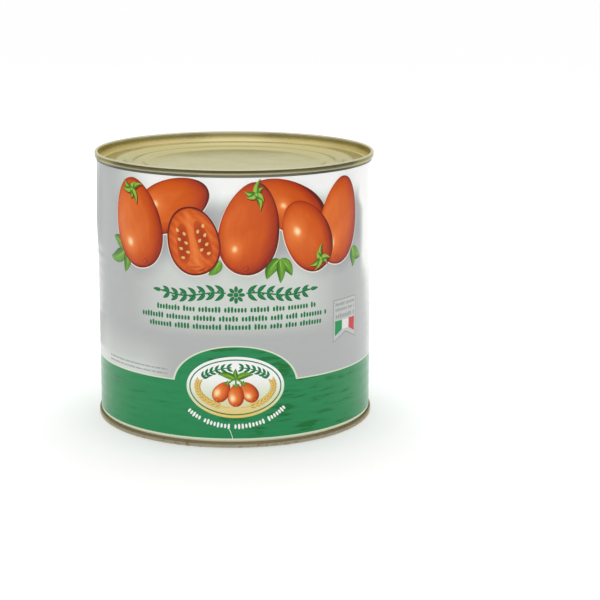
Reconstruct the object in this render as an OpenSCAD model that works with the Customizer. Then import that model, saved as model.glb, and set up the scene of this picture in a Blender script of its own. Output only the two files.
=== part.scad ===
// Large round food tin: a beaded body wall with a flat-rolled end seamed on at
// the top and the bottom, and a glued paper label round it.
// Millimetres. +Z is up, the tin stands on z = 0, its axis is the Z axis and
// the front of the label faces -Y.

/* [Tin] */
// Height over both seams
can_h = 151.5; // [110:0.5:260]
// Outside diameter of the plain body wall
body_d = 154.8; // [125:0.1:220]
// Sheet thickness of the body
body_t = 0.22; // [0.16:0.01:0.3]
// Sheet thickness of the ends
end_t = 0.28; // [0.2:0.01:0.36]

/* [Double seams] */
// Height of each seam
seam_h = 3.1; // [2.5:0.1:4]
// Free space between neighbouring layers of a seam
seam_gap = 0.14; // [0.05:0.01:0.2]
// Free space beyond the tip of the body hook and of the cover hook
tip_gap = 0.5; // [0.3:0.05:0.6]
// Bend radius at the shoulders of the seam's crown
crown_r = 0.5; // [0.3:0.05:0.6]

/* [Ends] */
// Depth of the panel's edge below the seam's crown
panel_depth = 5.6; // [4:0.1:7]
// How far the vacuum has drawn the middle of the panel in below its edge
panel_sink = 1.7; // [0:0.1:3]
// Depth of the groove at the foot of the chuck wall below the panel
groove_h = 1; // [0.4:0.1:2]
// Bend radius of the groove and of the panel's edge
groove_r = 0.9; // [0.6:0.05:1.2]
// How far the chuck wall leans inwards at its foot
chuck_lean = 0.35; // [0:0.05:0.6]
// Flat land between the groove and the first expansion ring
panel_land = 4.2; // [0.5:0.1:8]
// Number of expansion rings
ring_n = 2; // [1:1:3]
// Spacing of the expansion rings
ring_pitch = 10.7; // [8:0.1:16]
// Height of each expansion ring
ring_rise = 0.9; // [0.3:0.1:1.5]

/* [Body beads] */
// Plain wall below the beads
bead_low = 11; // [8:0.5:30]
// Plain wall above the beads
bead_high = 50.5; // [8:0.5:60]
// Spacing of the beads
bead_pitch = 6.4; // [4:0.1:10]
// Depth of each bead
bead_depth = 0.6; // [0.2:0.05:1]

/* [Label] */
// Paper thickness
label_t = 0.15; // [0.08:0.01:0.25]
// Clearance between the paper and the wall
label_fit = 0.05; // [0.02:0.01:0.2]
// Bare wall between the upper seam and the label
label_top_gap = 1.3; // [0.5:0.1:5]
// Bare wall between the lower seam and the label
label_low_gap = 1; // [0.5:0.1:5]
// Width of the glued overlap at the back
lap_w = 12; // [6:1:25]

/* [Hidden] */
$fn = 180;

// Angle of one step along a bend, and steps along each bead and each ring
bend_step = 15;
bead_steps = 8;
ring_steps = 16;

body_r = body_d / 2;

// Radii of the middle of each layer of the seam, from the inside out
chuck_mid = body_r - body_t - seam_gap - end_t / 2;
wall_mid = body_r - body_t / 2;
cover_mid = body_r + seam_gap + end_t / 2;
hook_mid = cover_mid + end_t / 2 + seam_gap + body_t / 2;
outer_mid = hook_mid + body_t / 2 + seam_gap + end_t / 2;

// Bends of the crown, of the curl below it and of the body's flange
crown_bend = min(crown_r, (outer_mid - chuck_mid) / 2);
curl_r = (outer_mid - cover_mid) / 2;
flange_r = (hook_mid - wall_mid) / 2;
curl_c = [(outer_mid + cover_mid) / 2, -seam_h + end_t / 2 + curl_r];
flange_c = [(hook_mid + wall_mid) / 2, -end_t - seam_gap - body_t / 2 - flange_r];

// Heights below the crown, all negative
crown_mid = -end_t / 2;
cover_tip = -end_t - seam_gap - body_t - tip_gap;
body_tip = -seam_h + end_t + tip_gap;
panel_mid = -panel_depth - end_t / 2;
groove_mid = panel_mid - groove_h;

// The groove and the panel's edge meet in an S of two equal bends
s_angle = acos(max(0, 1 - groove_h / (2 * groove_r)));
groove_c = [chuck_mid - chuck_lean - groove_r, groove_mid + groove_r];
edge_c = [groove_c[0] - 2 * groove_r * sin(s_angle), panel_mid - groove_r];
ring_outer = edge_c[0] - panel_land;

bead_n = floor((can_h - bead_low - bead_high) / bead_pitch);

label_r = body_r + label_fit;
label_z = seam_h + label_low_gap;
label_h = can_h - 2 * seam_h - label_low_gap - label_top_gap;
lap_angle = lap_w / label_r * 180 / PI;

// Points of a bend of radius r about c, from angle a0 to angle a1
function arc(c, r, a0, a1) =
    let (n = ceil((a1 - a0) / bend_step))
    [for (i = [0:n]) let (a = a0 + (a1 - a0) * i / n) c + r * [cos(a), sin(a)]];

function unit(v) = v / norm(v);
function left(v) = [-v[1], v[0]];

// A path moved to its left by d, with mitred corners
function side(p, d) =
    [for (i = [0:len(p) - 1])
        let (last = len(p) - 1,
             into = unit(p[max(i, 1)] - p[max(i, 1) - 1]),
             out = unit(p[min(i + 1, last)] - p[min(i, last - 1)]),
             m = left(unit(into + out)))
        p[i] + m * d / (m * left(into))];

function reverse(p) = [for (i = [len(p) - 1:-1:0]) p[i]];

// A path without points that repeat the one before
function joined(p) = [for (i = [0:len(p) - 1]) if (i == 0 || norm(p[i] - p[i - 1]) > 0.001) p[i]];

// Height of the middle of the panel's sheet at radius r: flat in the centre and
// on the land outside the rings, with a ridge for each ring, on half a cosine
// wave that carries the panel down from its edge to its centre. A ridge is a
// cosine wave with its flanks made steeper and its top flatter
function panel_at(r) =
    let (turns = max(0, min(ring_n, (ring_outer - r) / ring_pitch)),
         wave = (1 - cos(360 * turns)) / 2)
    panel_mid - panel_sink * (1 - cos(180 * turns / ring_n)) / 2
        + ring_rise * wave * wave * (3 - 2 * wave);

// Middle of an end's sheet from the axis out to the top of the chuck wall
end_disc = joined(concat(
    [[0, panel_at(0)]],
    [for (i = [0:ring_n * ring_steps])
        let (r = ring_outer - (ring_n - i / ring_steps) * ring_pitch) [r, panel_at(r)]],
    reverse(arc(edge_c, groove_r, 90 - s_angle, 90)),
    arc(groove_c, groove_r, 270 - s_angle, 360)));

// The rest of it: over the crown, down the outer face, round the curl and up
// the cover hook
end_rim = joined(concat(
    reverse(arc([chuck_mid + crown_bend, crown_mid - crown_bend], crown_bend, 90, 180)),
    reverse(arc([outer_mid - crown_bend, crown_mid - crown_bend], crown_bend, 0, 90)),
    reverse(arc(curl_c, curl_r, 180, 360)),
    [[cover_mid, cover_tip]]));

// Underside of an end from the axis to the foot of the chuck wall, with the
// clearance that the body keeps from it
under_end = side(concat(end_disc, [end_rim[0]]), -end_t / 2 - seam_gap);

// Edge of the solid body under an end: the underside of the end up to the
// flange, round the body hook and back to the outside of the wall
body_rim = concat(
    [for (i = [0:len(under_end) - 2]) under_end[i]],
    reverse(arc(flange_c, flange_r + body_t / 2, 0, 180)),
    [[hook_mid + body_t / 2, body_tip], [hook_mid - body_t / 2, body_tip]],
    arc(flange_c, flange_r - body_t / 2, 0, 180));

// Beads from the lowest to the highest, as [radius, height]
bead_wall = [for (i = [0:bead_n * bead_steps])
    [body_r - bead_depth * (1 - cos(360 * i / bead_steps)) / 2,
     bead_low + bead_pitch * i / bead_steps]];

module end_sheet() {
    path = concat(end_disc, end_rim);
    rotate_extrude()
        polygon(concat(side(path, end_t / 2), reverse(side(path, -end_t / 2))));
}

module can_body() {
    color("#c9c08f")
        rotate_extrude()
            polygon(concat(
                [for (p = body_rim) [p[0], -p[1]]],
                bead_wall,
                reverse([for (p = body_rim) [p[0], can_h + p[1]]])));
}

module top_end() {
    color("#bfbc9b") translate([0, 0, can_h]) end_sheet();
}

module bottom_end() {
    color("#a89f78") mirror([0, 0, 1]) end_sheet();
}

module label() {
    color("#c4c6c3")
        translate([0, 0, label_z]) {
            rotate_extrude()
                translate([label_r, 0]) square([label_t, label_h]);
            rotate([0, 0, 90 - lap_angle / 2])
                rotate_extrude(angle = lap_angle)
                    translate([label_r + label_t / 2, 0]) square([1.5 * label_t, label_h]);
        }
}

can_body();
top_end();
bottom_end();
label();
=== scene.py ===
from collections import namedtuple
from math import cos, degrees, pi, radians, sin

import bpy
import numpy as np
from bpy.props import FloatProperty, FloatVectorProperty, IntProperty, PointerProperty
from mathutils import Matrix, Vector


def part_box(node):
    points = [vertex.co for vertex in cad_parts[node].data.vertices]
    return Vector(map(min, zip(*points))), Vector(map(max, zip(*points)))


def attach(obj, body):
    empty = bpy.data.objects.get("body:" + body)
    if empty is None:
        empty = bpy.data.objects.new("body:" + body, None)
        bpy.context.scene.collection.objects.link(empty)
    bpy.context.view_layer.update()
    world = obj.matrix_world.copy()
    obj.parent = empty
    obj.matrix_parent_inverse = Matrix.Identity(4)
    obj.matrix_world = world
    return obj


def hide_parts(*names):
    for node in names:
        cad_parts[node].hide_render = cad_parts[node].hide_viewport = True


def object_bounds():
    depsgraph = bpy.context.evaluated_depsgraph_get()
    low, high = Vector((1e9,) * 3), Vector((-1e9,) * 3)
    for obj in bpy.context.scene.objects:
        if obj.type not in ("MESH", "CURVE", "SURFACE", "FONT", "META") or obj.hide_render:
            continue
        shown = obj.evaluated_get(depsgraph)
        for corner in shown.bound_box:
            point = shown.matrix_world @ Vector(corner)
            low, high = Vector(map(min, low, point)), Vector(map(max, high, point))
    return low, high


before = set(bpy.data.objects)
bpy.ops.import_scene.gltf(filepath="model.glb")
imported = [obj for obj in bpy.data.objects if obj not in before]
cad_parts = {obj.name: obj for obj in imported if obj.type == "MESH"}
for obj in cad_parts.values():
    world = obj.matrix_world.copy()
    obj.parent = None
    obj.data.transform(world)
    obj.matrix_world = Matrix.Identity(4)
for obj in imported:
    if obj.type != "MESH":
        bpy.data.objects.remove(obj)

# A large round food tin, dressed: gold-lacquered ends seamed to a tinplate wall, and
# a varnished paper label printed with generic plum tomatoes, basil and ornaments.
#
# Blender's metres, +Z up, the tin about the Z axis on z = 0, the label's front to -Y.
# The print is laid out flat, in millimetres, as (across, height): the way round the
# label to the right of its front's middle, and the height above the floor.

bl_info = {
    "name": "Seamed food tin",
    "version": (1, 0, 0),
    "blender": (4, 5, 0),
    "location": "3D View > Sidebar > Tin",
    "description": "Dresses a shut food tin: lacquered ends, tinplate wall and printed paper label",
    "category": "Object",
}

MM = 0.001
CAD_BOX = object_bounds()
LABEL_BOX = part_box("label")
LABEL_RADIUS = 77.6 * MM  # to the outside of the paper


# ---------------------------------------------------------------- settings


def linear(code):
    """Linear colour of an sRGB hex code."""
    shares = [int(code[i : i + 2], 16) / 255 for i in (0, 2, 4)]
    return [c / 12.92 if c <= 0.04045 else ((c + 0.055) / 1.055) ** 2.4 for c in shares]


def tint(name, code, description):
    """A colour that the user may change, from its sRGB hex code."""
    return FloatVectorProperty(
        name=name, description=description, subtype="COLOR",
        size=3, min=0, max=1, default=linear(code),
    )


def amount(name, value, description, **kind):
    """A number that the user may change."""
    return FloatProperty(name=name, description=description, default=value, **kind)


def span(name, millimetres, description):
    """A length that the user may change, kept in metres."""
    return amount(name, millimetres * MM, description, subtype="DISTANCE", unit="LENGTH")


class EndSizes(bpy.types.PropertyGroup):
    """Sizes of the two ends, as their solids have them."""

    sheet: span("Sheet", 0.28, "Thickness of the ends' sheet")
    wall_sheet: span("Wall sheet", 0.22, "Thickness of the body's sheet")
    wall_radius: span("Wall radius", 77.4, "Outside radius of the plain body wall")
    seam_height: span("Seam height", 3.1, "Height of a double seam")
    seam_gap: span("Seam gap", 0.14, "Space between neighbouring layers of a seam")
    tip_gap: span("Tip gap", 0.5, "Space beyond the tip of a hook")
    crown_bend: span("Crown bend", 0.5, "Bend radius at the shoulders of the crown")
    panel_depth: span("Panel depth", 5.6, "Depth of the panel's edge below the crown")
    panel_sink: span("Panel sink", 1.7, "How far the panel's middle is drawn in below its edge")
    groove_depth: span("Groove depth", 1.0, "Depth of the groove below the panel")
    groove_bend: span("Groove bend", 0.9, "Bend radius of the groove")
    chuck_lean: span("Chuck lean", 0.35, "How far the chuck wall leans inwards")
    panel_land: span("Panel land", 4.2, "Flat land outside the first ring")
    ring_pitch: span("Ring pitch", 10.7, "Spacing of the expansion rings")
    ring_rise: span("Ring rise", 0.9, "Height of an expansion ring")
    ring_count: IntProperty(
        name="Rings", description="Number of expansion rings", default=2, min=1, max=3
    )
    steps_round: IntProperty(
        name="Steps round", description="Steps round an end", default=240, min=48
    )


class LabelSizes(bpy.types.PropertyGroup):
    """Sizes of the paper and of its printed fields."""

    paper: span("Paper", 0.15, "Thickness of the paper")
    lap: span("Lap", 12.0, "Width of the glued overlap at the back")
    bead_pitch: span("Bead pitch", 6.4, "Spacing of the wall's beads under the paper")
    bead_low: span("Lowest bead", 11.0, "Height at which the beads begin")
    bead_high: span("Highest bead", 100.6, "Height at which the beads end")
    bead_sink: span("Bead sink", 0.11, "How far the paper sinks into a bead")
    margin_top: span("Margin", 5.1, "Height at which the lower margin ends")
    band_top: span("Band top", 36.2, "Height of the coloured band's upper edge")
    arch_foot: span("Arch foot", 34.0, "Height of the middle of the arch's ellipse")
    arch_half: span("Arch half width", 34.0, "Half width of the arch's ellipse")
    arch_rise: span("Arch rise", 22.0, "Half height of the arch's ellipse")
    edge_line: span("Edge line", 0.7, "Width of the pale line along the band")


class MetalColours(bpy.types.PropertyGroup):
    """Colours of the lacquered ends and of the wall."""

    lacquer_pale: tint("Lacquer, pale", "C8C29C", "Gold stoving lacquer where it is thin")
    lacquer_deep: tint("Lacquer, deep", "BBB487", "Gold stoving lacquer where it is thick")
    lacquer_ring: tint("Lacquer, rings", "C3B886", "Gold stoving lacquer over the rings")
    # Painted light: the chuck wall is painted bright at its foot as a painted reflection, less
    # bright towards the sides, and darker at its top as painted shade
    wall_foot_highlight: tint("Chuck wall, foot", "FBF0C6", "Lacquer drawn thin and bright at its foot")
    wall_foot_side_highlight: tint("Chuck wall, foot, sides", "E6DAAC", "The same where it is drawn less")
    wall_top_shade: tint("Chuck wall, top", "C8BB82", "Lacquer at the top of the chuck wall")
    # Painted shade: a darker line inside the crown
    crown_edge_shade: tint("Crown's inner edge", "A0976A", "Line of bruised lacquer inside the crown")
    # Painted highlight on the seam's crown, where the lacquer is also rubbed thin
    crest_highlight_and_wear: tint("Crest", "C7C3AD", "Seam's crown, where the lacquer is rubbed thin")
    # Painted shade: a dark line under the crown, darker at the middle of the front and back than at
    # the sides
    shoulder_shade: tint("Shoulder", "4C4727", "Line of grime and bruised lacquer under the crown")
    shoulder_side_shade: tint("Shoulder, sides", "7C764E", "The same line where there is less grime")
    seam_face: tint("Seam face", "A5A284", "Outer face of the upper seam")
    # Painted shade at the foot of the upper seam, darker at the middle of the front and back than
    # at the sides
    seam_foot_shade: tint("Seam foot", "5E5D49", "Foot of the upper seam")
    seam_foot_side_shade: tint("Seam foot, sides", "85836A", "The same foot where there is less grime")
    # A lighter line low on the lower seam, just above its crown
    low_shoulder: tint("Lower crown", "A89F8C", "Line under the lower crown, scuffed by shelves")
    low_face: tint("Lower seam", "796E52", "Outer face of the lower seam")
    low_foot: tint("Lower seam's edge", "76725A", "Edge of the lower seam that faces the label")
    rust: tint("Rust", "7A5A33", "Brown specks on the lower seam")
    grazing: tint("Grazing tint", "ECECD8", "Tint of the lacquer seen at a low angle")
    # Both tin colours are darkened as painted shade, for the gap under the upper seam
    tin_light: tint("Tin, light", "7E7C6C", "Tin coating along the grain")
    tin_dark: tint("Tin, dark", "5C5A4B", "Tin coating between the grain")
    # Painted light: the wall's bright foot, below the label
    tin_foot_painted_light: tint("Tin, foot", "CFC8AC", "Bright tin coating at the foot, which nothing rubs")


class PrintColours(bpy.types.PropertyGroup):
    """Inks of the label."""

    shadow: tint("Shadow", "7F8383", "Deepest drop shadow on the silver ground")
    silver: tint("Silver", "B2B4B3", "Silver grey ground")
    glow: tint("Glow", "CED3CD", "Pale glow in the ground")
    paper_white: tint("Paper white", "F5F6F4", "Unprinted paper under the varnish")
    band: tint("Band green", "1E8A51", "Green of the band and the arch")
    # Painted reflection: darker streaks in the band, for the ripples of the paper
    band_painted_reflection: tint("Band green, deep", "006E2E", "Streaks where more ink lies in the band")
    cream: tint("Cream", "D9E3C8", "Lower margin and the line along the band")
    fruit_edge: tint("Fruit edge", "5C1404", "Outline of a fruit")
    fruit_dark: tint("Fruit, dark", "932100", "Fruit turned from the light")
    fruit_deep: tint("Fruit, deep", "B43A00", "Fruit where its colour is deepest")
    fruit_mid: tint("Fruit, middle", "CE5400", "Fruit's own colour")
    fruit_light: tint("Fruit, light", "EB7C34", "Fruit turned to the light")
    fruit_shine: tint("Fruit shine", "FFDFA6", "Highlight on a fruit")
    fruit_halo: tint("Fruit halo", "EADFD2", "Thin pale edge under the fruit")
    leaf_dark: tint("Leaf, dark", "244F12", "Leaf in the shade")
    leaf_mid: tint("Leaf, middle", "4B8A1E", "Leaf's own colour")
    leaf_light: tint("Leaf, light", "A4CC48", "Leaf turned to the light")
    type_green: tint("Dark green", "00602D", "Green of the ornaments")
    straw_dark: tint("Straw, dark", "9A7422", "Straw in the shade")
    straw_light: tint("Straw, light", "EBC86A", "Straw turned to the light")
    plain_grey: tint("Grey", "7E8482", "Grey of the fine rules")
    flag_green: tint("Tag green", "0A9553", "Green bar of the tag")
    flag_red: tint("Tag red", "C8323A", "Red bar of the tag")


class StageSettings(bpy.types.PropertyGroup):
    """Camera and lamps."""

    distance: span("Distance", 964.14, "Camera's distance in front of the axis")
    eye_height: span("Eye height", 286.87, "Camera's height above the floor")
    pitch: amount("Pitch", 0.2272406, "Camera's tilt below the horizon", unit="ROTATION")
    yaw: amount("Yaw", 0.0387718, "Camera's turn to the right", unit="ROTATION")
    roll: amount("Roll", 0.0049814, "Camera's lean", unit="ROTATION")
    lens: amount("Lens", 103.01, "Focal length in millimetres", min=20)
    fill: amount("Fill", 0.745, "Strength of the light from all round", min=0)
    ceiling: amount("Ceiling", 1.08, "Brightness of the mirrored ceiling", min=0)
    ceiling_aside: amount("Ceiling, sides", 1.0, "Its brightness towards the sides", min=0)
    zenith: amount("Zenith", 0.3, "How much brighter the mirrored ceiling is overhead", min=0)
    overhead: amount("Overhead", 1.05, "Radiance of the upper softbox", min=0)
    front: amount("Front", 1.15, "Radiance of the softbox in front", min=0)
    side: amount("Sides", 0.6, "Radiance of the softboxes at the sides", min=0)


# ---------------------------------------------------------------- meshes


def soft_step(value, low, high):
    """0 below low and 1 above high, with a smooth S between. high may be the lower of the two."""
    share = np.clip((value - low) / (high - low), 0, 1)
    return share * share * (3 - 2 * share)


def bell(distance, width, power=2):
    """1 at no distance and 0 far off: e to minus the power of the distance in widths."""
    return np.exp(-((distance / width) ** power))


def closed_skin(rows, columns):
    """Faces over a grid that closes into one skin: corner numbers, vertex numbers, corners kept.

    The grid is numbered row by row. Its last column is its first again, and its first
    and last rows are one point each, so the cells beside them lose a corner.
    """
    corner = np.arange(rows * columns).reshape(rows, columns)
    vertex = corner.copy()
    vertex[:, -1] = vertex[:, 0]
    vertex[0] = vertex[0, 0]
    vertex[-1] = vertex[-1, 0]
    cells = np.stack([corner[:-1, :-1], corner[:-1, 1:], corner[1:, 1:], corner[1:, :-1]], -1)
    cells = cells.reshape(-1, 4)
    owners = vertex.ravel()[cells]
    return cells, owners, owners != np.roll(owners, 1, axis=1)


def new_piece(name, skins, material, replaced=()):
    """Joins closed skins into one piece on the tin, in place of the replaced solids.

    A skin is a dict of grids of the same rows and columns: points in metres, flat (the
    place in the piece's own pattern, in millimetres) and tone (how light the print is, or
    where on an end the lacquer lies).
    """
    points, flats, tones, owners, totals = [], [], [], [], []
    start = 0
    for skin in skins:
        rows, columns = skin["points"].shape[:2]
        cells, skin_owners, kept = closed_skin(rows, columns)
        points.append(skin["points"].reshape(-1, 3))
        tones.append(np.broadcast_to(skin["tone"], (rows, columns)).ravel())
        flats.append(skin["flat"].reshape(-1, 2)[cells[kept]])
        owners.append(skin_owners[kept] + start)
        totals.append(kept.sum(1))
        start += rows * columns
    used, corners = np.unique(np.concatenate(owners), return_inverse=True)
    totals = np.concatenate(totals)

    mesh = bpy.data.meshes.new(name)
    mesh.vertices.add(len(used))
    mesh.vertices.foreach_set("co", np.concatenate(points)[used].ravel())
    mesh.loops.add(len(corners))
    mesh.polygons.add(len(totals))
    mesh.polygons.foreach_set("loop_start", np.concatenate([[0], np.cumsum(totals)[:-1]]))
    mesh.polygons.foreach_set("vertices", corners.ravel())
    mesh.update(calc_edges=True)
    mesh.uv_layers.new(name="flat").data.foreach_set("uv", np.concatenate(flats).ravel())
    tone = mesh.attributes.new("tone", "FLOAT", "POINT")
    tone.data.foreach_set("value", np.concatenate(tones)[used])
    if mesh.validate():
        raise RuntimeError(f"{name}: its skins hold faces that had to be mended")
    mesh.shade_smooth()
    mesh.set_sharp_from_angle(angle=radians(35))
    mesh.materials.append(material)

    piece = bpy.data.objects.new(name, mesh)
    bpy.context.scene.collection.objects.link(piece)
    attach(piece, "root")
    if replaced:
        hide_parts(*replaced)


# ---------------------------------------------------------------- ends


def arc(centre, radius, start, stop, step=9):
    """Points of an arc about a centre, from the angle start to the angle stop, in degrees."""
    turn = np.radians(np.linspace(start, stop, int(abs(stop - start) / step) + 2))
    return np.column_stack([centre[0] + radius * np.cos(turn), centre[1] + radius * np.sin(turn)])


def side_of(path, offset):
    """A path moved to its left by offset: each point goes along the bisector of its corner."""
    step = np.diff(path, axis=0)
    step /= np.linalg.norm(step, axis=1)[:, None]
    into = np.vstack([step[:1], step])
    out = np.vstack([step, step[-1:]])
    mitre = into + out
    mitre /= np.linalg.norm(mitre, axis=1)[:, None]
    mitre = np.column_stack([-mitre[:, 1], mitre[:, 0]])
    left = np.column_stack([-into[:, 1], into[:, 0]])
    return path + mitre * (offset / (mitre * left).sum(1))[:, None]


def end_outline(s):
    """Outline of an end's sheet, as radius and height above the crown's top.

    One path runs down the middle of the sheet: from the axis across the panel, round the
    groove, up the chuck wall, over the crown, down the seam's face, round the curl and up
    to the cover hook's tip. The panel has a ridge for each ring, a cosine wave with its
    flanks made steeper, on half a cosine wave from its centre up to its edge. The outline
    is the path moved half a sheet to its left, and back along its right.
    """
    half = s.sheet / 2
    chuck = s.wall_radius - s.wall_sheet - s.seam_gap - half
    cover = s.wall_radius + s.seam_gap + half
    hook = cover + half + s.seam_gap + s.wall_sheet / 2
    face = hook + s.wall_sheet / 2 + s.seam_gap + half
    curl = (face - cover) / 2
    curl_at = ((face + cover) / 2, -s.seam_height + half + curl)
    panel = -s.panel_depth - half
    crown = -half - s.crown_bend

    # The groove and the panel's edge meet in an S of two equal bends
    s_angle = degrees(np.arccos(1 - s.groove_depth / (2 * s.groove_bend)))
    groove_at = (chuck - s.chuck_lean - s.groove_bend, panel - s.groove_depth + s.groove_bend)
    edge_at = (groove_at[0] - 2 * s.groove_bend * sin(radians(s_angle)), panel - s.groove_bend)

    turns = np.linspace(s.ring_count, 0, 32 * s.ring_count + 1)
    ridge = s.ring_rise * soft_step(np.cos(2 * pi * turns), 1, -1)
    sunk = s.panel_sink * (1 - np.cos(pi * turns / s.ring_count)) / 2
    radius = edge_at[0] - s.panel_land - s.ring_pitch * turns
    path = np.vstack([
        np.column_stack([np.linspace(0, radius[0], 9)[:-1], np.full(8, panel - s.panel_sink)]),
        np.column_stack([radius, panel + ridge - sunk]),
        arc(edge_at, s.groove_bend, 90, 90 - s_angle),
        arc(groove_at, s.groove_bend, 270 - s_angle, 360),
        arc((chuck + s.crown_bend, crown), s.crown_bend, 180, 90),
        arc((face - s.crown_bend, crown), s.crown_bend, 90, 0),
        arc(curl_at, curl, 360, 180, 15),
        [[cover, -s.sheet - s.seam_gap - s.wall_sheet - s.tip_gap]],
    ])
    moved = np.linalg.norm(np.diff(path, axis=0), axis=1) > 0.001 * MM
    path = path[np.concatenate([[True], moved])]
    return np.vstack([side_of(path, half), side_of(path, -half)[::-1]])


def end_skin(s, level, up):
    """The outline turned about the axis, at the height level, upwards (1) or downwards (-1).

    The tone is 0 on the panel and inside the groove, climbs the chuck wall from 0.03 to
    0.5 at the crown, and goes on to 1 at the foot of the seam's face. The pattern's place
    is the way round and the way along the outline.
    """
    outline = end_outline(s)
    radius, height = np.abs(outline[:, :1]), outline[:, 1:]
    turn = -up * np.linspace(0, 2 * pi, s.steps_round + 1)[None, :]
    spots = np.broadcast_arrays(radius * np.sin(turn), radius * np.cos(turn), level + up * height)
    along = np.concatenate([[0], np.cumsum(np.linalg.norm(np.diff(outline, axis=0), axis=1))])
    flat = np.stack(np.broadcast_arrays(turn * s.wall_radius / MM, along[:, None] / MM), -1)

    crown_radius = (radius.max() + s.wall_radius - s.wall_sheet - s.seam_gap - s.sheet) / 2
    groove_reach = 3 * MM
    climb = np.maximum(0.5 + 0.5 * height / s.panel_depth, 0.03)
    inside = np.where(radius > crown_radius - groove_reach, climb, 0)
    tone = np.where(radius < crown_radius, inside, 0.5 - 0.5 * height / s.seam_height)
    return {"points": np.stack(spots, -1), "flat": flat, "tone": np.clip(tone, 0, 1)}


# ---------------------------------------------------------------- label


def relief(s, across, height):
    """How far the varnished paper stands off its plain cylinder, in millimetres.

    It sinks into the wall's beads as a cosine, swells where it is loose at the left, has
    slow cockles, and its right-hand end lies on the other end at the back.
    """
    bead_end = 3
    beads = soft_step(height, s.bead_low / MM, s.bead_low / MM + bead_end)
    beads = beads * soft_step(height, s.bead_high / MM, s.bead_high / MM - bead_end)
    turns = (height * MM - s.bead_low) / s.bead_pitch
    sink = beads * s.bead_sink / MM * (1 - np.cos(2 * pi * turns)) / 2
    swell = 0.55 * bell(across + 112, 16) * bell(height - 114, 13)
    cockle = 0.02 * np.sin(across / 9 + 1.3 * np.sin(height / 17))
    cockle *= np.sin(height / 12 + across / 31)
    # The overlap climbs onto the other end over the last millimetres before half way round
    half_round = pi * LABEL_RADIUS / MM
    flap = 1.15 * s.paper / MM * soft_step(across, half_round - 10, half_round - 6.2)
    return flap + swell + cockle - sink


def on_label(s, across, height, lift):
    """Points over the label: the cylinder's radius plus the relief and the lift, at the angle
    that is the way across divided by the radius."""
    radius = LABEL_RADIUS + (relief(s, across, height) + lift) * MM
    turn = across * MM / LABEL_RADIUS
    return np.stack([radius * np.sin(turn), -radius * np.cos(turn), height * MM + 0 * turn], -1)


def ground_tone(across, height):
    """How light the silver ground is: 0.35 plain, up to 1 for white paper and painted reflection,
    down to 0 in printed shadow and painted shade. It is a sum of soft steps and bells across and up
    the label."""
    plain, fade = 0.35, 0.65
    # A glow behind the ornaments, and white at the top behind the fruit: partly white paper and
    # partly painted reflection
    glow = 0.27 * bell(across - 1, 54, 6) * bell(height - 84.5, 19.5, 6)
    top = soft_step(height, 127, 140) * soft_step(across, -84, -42) * soft_step(across, 175, 130)
    # White at the right, partly white paper and partly painted reflection, beyond an edge that
    # leans outwards and is softer low down
    edge = 87.5 + 8.5 * soft_step(height, 97, 78) + 5 * soft_step(height, 78, 50)
    edge = edge - 6 * soft_step(height, 122, 132)
    soft = 3.5 + 5.5 * soft_step(height, 97, 84)
    right = soft_step(across, edge - soft, edge + soft) * soft_step(across, 190, 130)
    right = right * (0.25 + 0.75 * soft_step(height, 50, 100))
    # Painted reflection makes it paler low down at the left, and painted shade makes it a little
    # deeper further left above that
    low = 0.2 * soft_step(height, 62, 40) + 0.12 * soft_step(height, 46, 39)
    low = low * soft_step(across, -30, -56) * soft_step(across, -150, -90)
    painted_shade_left = 0.1 * soft_step(across, -70, -96) * soft_step(height, 50, 76)
    painted_shade_left = painted_shade_left * soft_step(across, -200, -115)
    light = plain + np.maximum(np.maximum(glow, fade * top), fade * right) + low - painted_shade_left

    # Each fruit's soft shadow, to the right and down, which fades in the glow and at the top,
    # and a small one beside the fruit at the far right
    aside, down, spread = 2.2, 2.0, 2.5
    shade = 0 * across * height
    for fruit in [*FRUIT, CUT_FRUIT]:
        x, y = turned(across - fruit.at[0] - aside, height - fruit.at[1] + down, -fruit.tilt)
        reach = np.hypot(x / (fruit.size[0] / 2 + spread), y / (fruit.size[1] / 2 + spread))
        shade = np.maximum(shade, soft_step(reach, 1.16, 0.86))
    strength = (0.28 - 0.5 * glow) * (1 - 0.65 * soft_step(height, 126, 136))
    corner = 0.12 * bell(across - 83.5, 4) * bell(height - 111, 11)
    return np.clip(light * (1 - strength * shade) - corner, 0, 1)


def label_skin(s):
    """The paper: its upright section, down the outside and up the inside, carried round the
    wall from one end to the other, with the ends closed."""
    columns, rows_outside, rows_inside = 421, 148, 9
    half = pi * LABEL_RADIUS / MM + s.lap / MM / 2
    low, high = LABEL_BOX[0].z / MM, LABEL_BOX[1].z / MM
    across = np.concatenate([[-half], np.linspace(-half, half, columns), [half]])[:, None]
    outside = np.linspace(high, low, rows_outside)
    inside = np.linspace(low, high, rows_inside)
    height = np.concatenate([outside, inside, outside[:1]])[None, :]
    lift = np.concatenate([0 * outside, 0 * inside - s.paper / MM, [0]])[None, :] + 0 * across
    height = height + 0 * across
    lift[[0, -1]] = -s.paper / MM / 2
    height[[0, -1]] = (low + high) / 2
    flat = np.stack(np.broadcast_arrays(across, height), -1)
    points = on_label(s, across, height, lift)
    return {"points": points, "flat": flat, "tone": ground_tone(across, height)}


# ---------------------------------------------------------------- printed forms


# Each form's lift is how far its face stands off the paper, in millimetres, so that what is
# printed later lies on top. Its other side reaches this far into the paper
DEPTH = 0.1


def turned(x, y, tilt):
    """A place turned clockwise by tilt degrees."""
    a = radians(tilt)
    return x * cos(a) + y * sin(a), y * cos(a) - x * sin(a)


def printed(across, height, lift, x, y, tone):
    """A closed skin of print, laid out flat. x and y are the place in its own pattern."""
    flat = np.stack(np.broadcast_arrays(x, y), -1)
    tone = np.clip(np.broadcast_to(tone, flat.shape[:2]), 0, 1)
    return {"across": across, "height": height, "lift": lift, "flat": flat, "tone": tone}


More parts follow.
